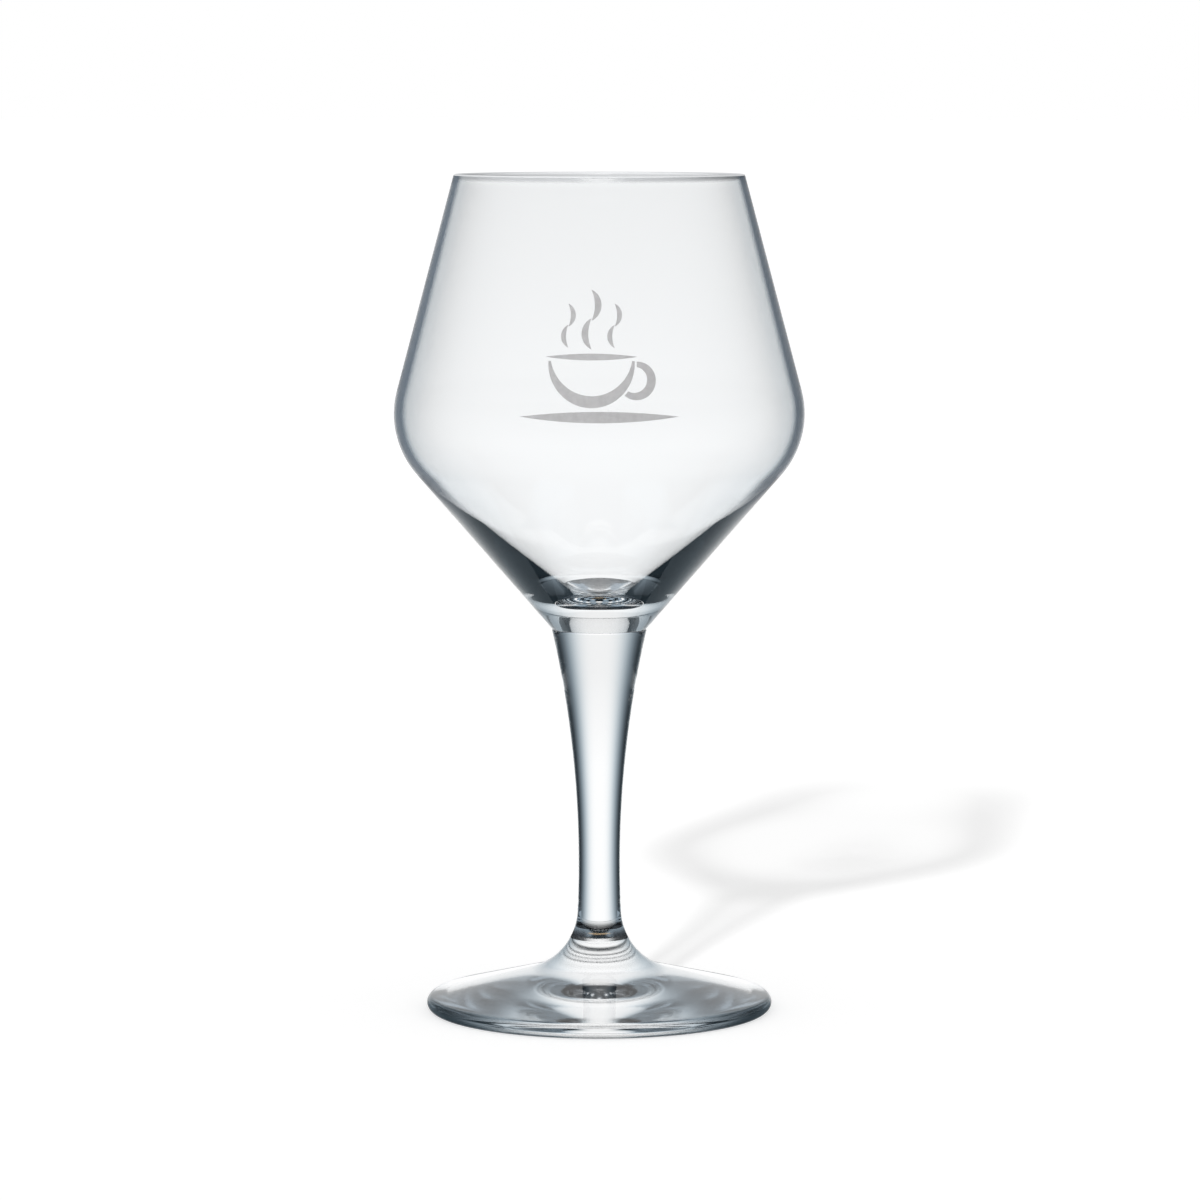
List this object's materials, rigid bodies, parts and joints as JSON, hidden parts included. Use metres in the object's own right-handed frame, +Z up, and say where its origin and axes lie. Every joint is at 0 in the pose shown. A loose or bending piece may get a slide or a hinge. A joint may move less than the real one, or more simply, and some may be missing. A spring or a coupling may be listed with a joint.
{
  "type": "stemmed coffee glass",
  "caption": "Clear drinking glass with a tapered, shouldered bowl on a waisted stem and a round sloping foot, with a small grey printed cup motif.",
  "frame": {"origin": "centre of the foot on the plane the glass stands on", "axes": "+Z up along the axis of the glass, -Y toward the side with the printed motif"},
  "size_m": [0.091, 0.0911, 0.1865],
  "materials": {
    "clear_glass": "fire-polished, clear",
    "grey_enamel": "fired print, satin"
  },
  "bodies": {
    "root": {"bowl": "clear_glass", "stem": "clear_glass", "foot": "clear_glass", "printed_motif": "grey_enamel"}
  },
  "joints": []
}
